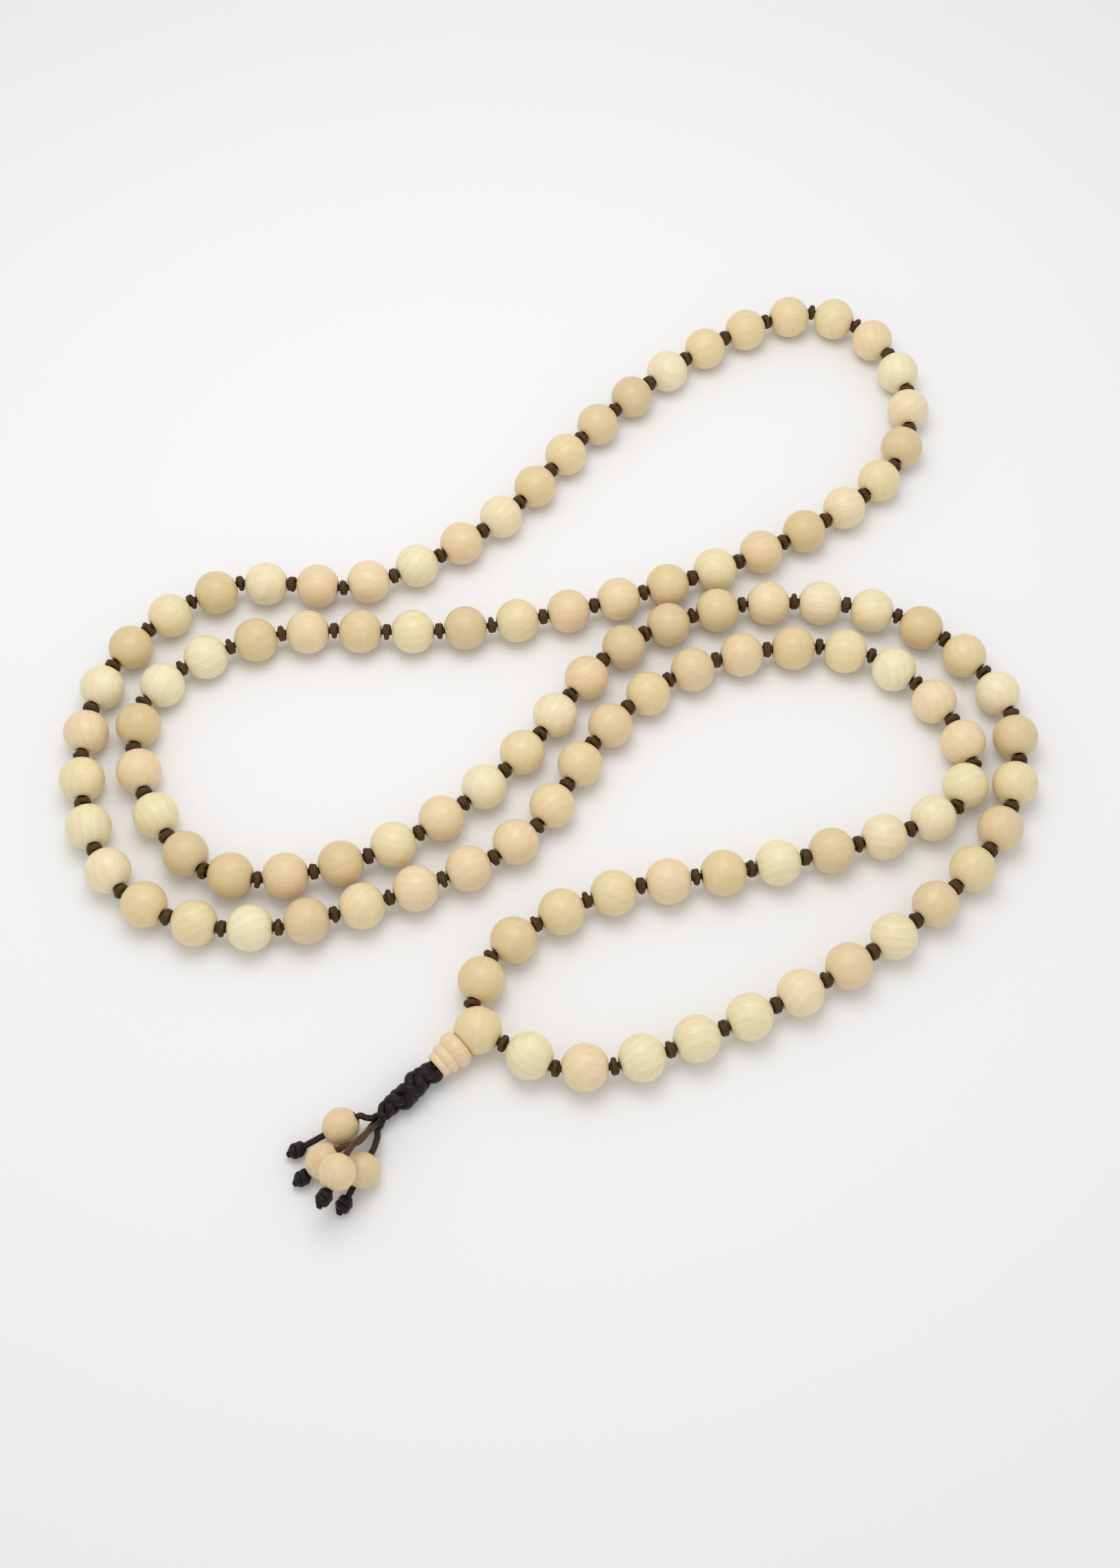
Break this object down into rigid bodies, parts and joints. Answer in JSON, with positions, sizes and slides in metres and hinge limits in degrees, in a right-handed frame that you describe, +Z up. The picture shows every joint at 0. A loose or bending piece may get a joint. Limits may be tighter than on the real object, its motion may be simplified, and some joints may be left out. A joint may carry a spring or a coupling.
{
  "type": "mala prayer beads",
  "caption": "Knotted loop of round wooden beads with a guru bead and a braided tassel ending in small beads, laid folded on a table.",
  "frame": {"origin": "on the table, under the middle of the whole laid-out mala", "axes": "+Z up from the table, +Y away from the tassel along the mala's longest extent, +X to the right"},
  "size_m": [0.1731, 0.1873, 0.0109],
  "materials": {
    "bead_wood": "pale wood, sanded smooth and polished to a soft sheen",
    "small_bead_wood": "pale wood, sanded smooth and polished to a soft sheen",
    "cord": "dark brown waxed cord"
  },
  "bodies": {
    "left_lobe": {"beads_left_out": "bead_wood", "beads_left_back": "bead_wood", "cord_left": "cord", "fold_left_right": "cord", "fold_left_top": "cord"},
    "top_lobe": {"beads_top_out": "bead_wood", "beads_top_back": "bead_wood", "cord_top": "cord", "fold_top_tip": "cord"},
    "top_tip": {"cord_tip": "cord"},
    "right_span": {"beads_right_out": "bead_wood", "beads_right_back": "bead_wood", "cord_right": "cord", "fold_right_guru": "cord"},
    "guru_lobe": {"cord_guru_lobe": "cord", "fold_guru_tip": "cord"},
    "guru_tip": {"cord_guru_tip": "cord", "guru_bead": "bead_wood"},
    "tassel": {"neck_cord": "cord", "neck_bend_cord": "cord"},
    "tower": {"tower_bead": "bead_wood"},
    "braid": {"braid": "cord"},
    "bead_1": {"bead_1": "bead_wood"},
    "bead_2": {"bead_2": "bead_wood"},
    "bead_3": {"bead_3": "bead_wood"},
    "bead_4": {"bead_4": "bead_wood"},
    "bead_5": {"bead_5": "bead_wood"},
    "bead_6": {"bead_6": "bead_wood"},
    "bead_7": {"bead_7": "bead_wood"},
    "bead_8": {"bead_8": "bead_wood"},
    "bead_9": {"bead_9": "bead_wood"},
    "bead_49": {"bead_49": "bead_wood"},
    "bead_50": {"bead_50": "bead_wood"},
    "bead_51": {"bead_51": "bead_wood"},
    "bead_52": {"bead_52": "bead_wood"},
    "bead_53": {"bead_53": "bead_wood"},
    "bead_54": {"bead_54": "bead_wood"},
    "bead_55": {"bead_55": "bead_wood"},
    "bead_56": {"bead_56": "bead_wood"},
    "bead_57": {"bead_57": "bead_wood"},
    "bead_58": {"bead_58": "bead_wood"},
    "bead_59": {"bead_59": "bead_wood"},
    "bead_60": {"bead_60": "bead_wood"},
    "bead_100": {"bead_100": "bead_wood"},
    "bead_101": {"bead_101": "bead_wood"},
    "bead_102": {"bead_102": "bead_wood"},
    "bead_103": {"bead_103": "bead_wood"},
    "bead_104": {"bead_104": "bead_wood"},
    "bead_105": {"bead_105": "bead_wood"},
    "bead_106": {"bead_106": "bead_wood"},
    "bead_107": {"bead_107": "bead_wood"},
    "bead_108": {"bead_108": "bead_wood"},
    "strand_1": {"strand_1": "cord"},
    "tassel_bead_1": {"tassel_bead_1": "small_bead_wood"},
    "strand_2": {"strand_2": "cord"},
    "tassel_bead_2": {"tassel_bead_2": "small_bead_wood"},
    "strand_3": {"strand_3": "cord"},
    "tassel_bead_3": {"tassel_bead_3": "small_bead_wood"},
    "strand_4": {"strand_4": "cord"},
    "tassel_bead_4": {"tassel_bead_4": "small_bead_wood"}
  },
  "joints": [
    {"name": "right_span_fold", "type": "hinge", "parent": "left_lobe", "child": "right_span", "pos_m": [-0.04704, -0.04105, 0.004], "axis": [0.4261, -0.9047, 0], "range_deg": [0, 55], "deforming": ["fold_left_right"]},
    {"name": "top_lobe_fold", "type": "hinge", "parent": "left_lobe", "child": "top_lobe", "pos_m": [-0.00637, 0.02663, 0.004], "axis": [0.5149, -0.8573, 0], "range_deg": [0, 55], "deforming": ["fold_left_top"]},
    {"name": "top_tip_fold", "type": "hinge", "parent": "top_lobe", "child": "top_tip", "pos_m": [0.03223, 0.05276, 0.004], "axis": [0.5378, -0.8431, 0], "range_deg": [0, 55], "deforming": ["fold_top_tip"]},
    {"name": "guru_lobe_fold", "type": "hinge", "parent": "right_span", "child": "guru_lobe", "pos_m": [0.06647, -0.03249, 0.004], "axis": [-0.5221, 0.8529, 0], "range_deg": [0, 55], "deforming": ["fold_right_guru"]},
    {"name": "guru_tip_fold", "type": "hinge", "parent": "guru_lobe", "child": "guru_tip", "pos_m": [0.03192, -0.04784, 0.004], "axis": [-0.4666, 0.8845, 0], "range_deg": [0, 55], "deforming": ["fold_guru_tip"]},
    {"name": "tassel_lift", "type": "hinge", "parent": "guru_tip", "child": "tassel", "pos_m": [-0.011, -0.064, 0.004], "axis": [-0.6691, 0.7431, 0], "range_deg": [-25, 25], "deforming": ["neck_bend_cord"]},
    {"name": "tower_bead_spin", "type": "hinge", "parent": "tassel", "child": "tower", "pos_m": [-0.01544, -0.068, 0.00343], "axis": [-0.7397, -0.666, -0.0958], "continuous": true},
    {"name": "braid_swing", "type": "hinge", "parent": "tassel", "child": "braid", "pos_m": [-0.01929, -0.07146, 0.00293], "axis": [0, 0, 1], "range_deg": [-20, 20]},
    {"name": "strand_1_swing", "type": "hinge", "parent": "braid", "child": "strand_1", "pos_m": [-0.02685, -0.07719, 0.00262], "axis": [0, 0, 1], "range_deg": [-25, 0]},
    {"name": "tassel_bead_1_slide", "type": "slide", "parent": "strand_1", "child": "tassel_bead_1", "axis": [-0.8754, -0.4338, -0.2133], "range_m": [-0.0004, 0.0002]},
    {"name": "strand_2_swing", "type": "hinge", "parent": "braid", "child": "strand_2", "pos_m": [-0.02658, -0.07749, 0.00142], "axis": [0, 0, 1], "range_deg": [-1, 1]},
    {"name": "tassel_bead_2_slide", "type": "slide", "parent": "strand_2", "child": "tassel_bead_2", "axis": [-0.7821, -0.5171, -0.3477], "range_m": [-0.0003, 0]},
    {"name": "strand_3_lift", "type": "hinge", "parent": "braid", "child": "strand_3", "pos_m": [-0.02598, -0.07816, 0.00272], "axis": [-0.6691, 0.7431, 0], "range_deg": [0, 30]},
    {"name": "tassel_bead_3_slide", "type": "slide", "parent": "strand_3", "child": "tassel_bead_3", "axis": [-0.4373, -0.8887, -0.1379], "range_m": [-0.0002, 0]},
    {"name": "strand_4_swing", "type": "hinge", "parent": "braid", "child": "strand_4", "pos_m": [-0.02578, -0.07838, 0.00152], "axis": [0, 0, 1], "range_deg": [0, 25]},
    {"name": "tassel_bead_4_slide", "type": "slide", "parent": "strand_4", "child": "tassel_bead_4", "axis": [-0.4666, -0.8438, -0.2651], "range_m": [-0.0004, 0]},
    {"name": "bead_1_spin", "type": "hinge", "parent": "guru_tip", "child": "bead_1", "pos_m": [-0.00249, -0.06842, 0.004], "axis": [0.8925, -0.451, 0], "continuous": true},
    {"name": "bead_2_spin", "type": "hinge", "parent": "guru_tip", "child": "bead_2", "pos_m": [0.00655, -0.07039, 0.004], "axis": [0.9992, 0.0402, 0], "continuous": true},
    {"name": "bead_3_spin", "type": "hinge", "parent": "guru_tip", "child": "bead_3", "pos_m": [0.01589, -0.06875, 0.004], "axis": [0.9537, 0.3009, 0], "continuous": true},
    {"name": "bead_4_spin", "type": "hinge", "parent": "guru_tip", "child": "bead_4", "pos_m": [0.02493, -0.06546, 0.004], "axis": [0.924, 0.3824, 0], "continuous": true},
    {"name": "bead_5_spin", "type": "hinge", "parent": "guru_tip", "child": "bead_5", "pos_m": [0.03375, -0.0616, 0.004], "axis": [0.9078, 0.4195, 0], "continuous": true},
    {"name": "bead_6_spin", "type": "hinge", "parent": "guru_lobe", "child": "bead_6", "pos_m": [0.04237, -0.05733, 0.004], "axis": [0.8839, 0.4678, 0], "continuous": true},
    {"name": "bead_7_spin", "type": "hinge", "parent": "guru_lobe", "child": "bead_7", "pos_m": [0.05072, -0.05254, 0.004], "axis": [0.8499, 0.527, 0], "continuous": true},
    {"name": "bead_8_spin", "type": "hinge", "parent": "guru_lobe", "child": "bead_8", "pos_m": [0.05867, -0.04714, 0.004], "axis": [0.8027, 0.5964, 0], "continuous": true},
    {"name": "bead_9_spin", "type": "hinge", "parent": "guru_lobe", "child": "bead_9", "pos_m": [0.0662, -0.04115, 0.004], "axis": [0.7622, 0.6473, 0], "continuous": true},
    {"name": "bead_49_spin", "type": "hinge", "parent": "top_tip", "child": "bead_49", "pos_m": [0.0485, 0.0362, 0.004], "axis": [0.8502, 0.5264, 0], "continuous": true},
    {"name": "bead_50_spin", "type": "hinge", "parent": "top_tip", "child": "bead_50", "pos_m": [0.05644, 0.04162, 0.004], "axis": [0.7988, 0.6016, 0], "continuous": true},
    {"name": "bead_51_spin", "type": "hinge", "parent": "top_tip", "child": "bead_51", "pos_m": [0.06351, 0.04806, 0.004], "axis": [0.6735, 0.7392, 0], "continuous": true},
    {"name": "bead_52_spin", "type": "hinge", "parent": "top_tip", "child": "bead_52", "pos_m": [0.06853, 0.05605, 0.004], "axis": [0.3733, 0.9277, 0], "continuous": true},
    {"name": "bead_53_spin", "type": "hinge", "parent": "top_tip", "child": "bead_53", "pos_m": [0.07054, 0.06528, 0.004], "axis": [0.0473, 0.9989, 0], "continuous": true},
    {"name": "bead_54_spin", "type": "hinge", "parent": "top_tip", "child": "bead_54", "pos_m": [0.06929, 0.07461, 0.004], "axis": [-0.3099, 0.9508, 0], "continuous": true},
    {"name": "bead_55_spin", "type": "hinge", "parent": "top_tip", "child": "bead_55", "pos_m": [0.06486, 0.08293, 0.004], "axis": [-0.6155, 0.7882, 0], "continuous": true},
    {"name": "bead_56_spin", "type": "hinge", "parent": "top_tip", "child": "bead_56", "pos_m": [0.05757, 0.08846, 0.004], "axis": [-0.9273, 0.3742, 0], "continuous": true},
    {"name": "bead_57_spin", "type": "hinge", "parent": "top_tip", "child": "bead_57", "pos_m": [0.04859, 0.08901, 0.004], "axis": [-0.9676, -0.2526, 0], "continuous": true},
    {"name": "bead_58_spin", "type": "hinge", "parent": "top_tip", "child": "bead_58", "pos_m": [0.03967, 0.08561, 0.004], "axis": [-0.8906, -0.4549, 0], "continuous": true},
    {"name": "bead_59_spin", "type": "hinge", "parent": "top_tip", "child": "bead_59", "pos_m": [0.03139, 0.08076, 0.004], "axis": [-0.8325, -0.554, 0], "continuous": true},
    {"name": "bead_60_spin", "type": "hinge", "parent": "top_tip", "child": "bead_60", "pos_m": [0.02372, 0.07497, 0.004], "axis": [-0.7615, -0.6482, 0], "continuous": true},
    {"name": "bead_100_spin", "type": "hinge", "parent": "guru_lobe", "child": "bead_100", "pos_m": [0.05849, -0.02839, 0.004], "axis": [-0.9542, -0.299, 0], "continuous": true},
    {"name": "bead_101_spin", "type": "hinge", "parent": "guru_lobe", "child": "bead_101", "pos_m": [0.04924, -0.03107, 0.004], "axis": [-0.9661, -0.258, 0], "continuous": true},
    {"name": "bead_102_spin", "type": "hinge", "parent": "guru_lobe", "child": "bead_102", "pos_m": [0.03991, -0.03341, 0.004], "axis": [-0.9736, -0.2282, 0], "continuous": true},
    {"name": "bead_103_spin", "type": "hinge", "parent": "guru_lobe", "child": "bead_103", "pos_m": [0.03047, -0.0353, 0.004], "axis": [-0.9863, -0.1652, 0], "continuous": true},
    {"name": "bead_104_spin", "type": "hinge", "parent": "guru_tip", "child": "bead_104", "pos_m": [0.02099, -0.03693, 0.004], "axis": [-0.985, -0.1727, 0], "continuous": true},
    {"name": "bead_105_spin", "type": "hinge", "parent": "guru_tip", "child": "bead_105", "pos_m": [0.01162, -0.03907, 0.004], "axis": [-0.9617, -0.2739, 0], "continuous": true},
    {"name": "bead_106_spin", "type": "hinge", "parent": "guru_tip", "child": "bead_106", "pos_m": [0.00274, -0.04261, 0.004], "axis": [-0.8872, -0.4614, 0], "continuous": true},
    {"name": "bead_107_spin", "type": "hinge", "parent": "guru_tip", "child": "bead_107", "pos_m": [-0.00529, -0.04782, 0.004], "axis": [-0.7819, -0.6234, 0], "continuous": true},
    {"name": "bead_108_spin", "type": "hinge", "parent": "guru_tip", "child": "bead_108", "pos_m": [-0.01053, -0.05507, 0.004], "axis": [-0.3296, -0.9441, 0], "continuous": true}
  ]
}
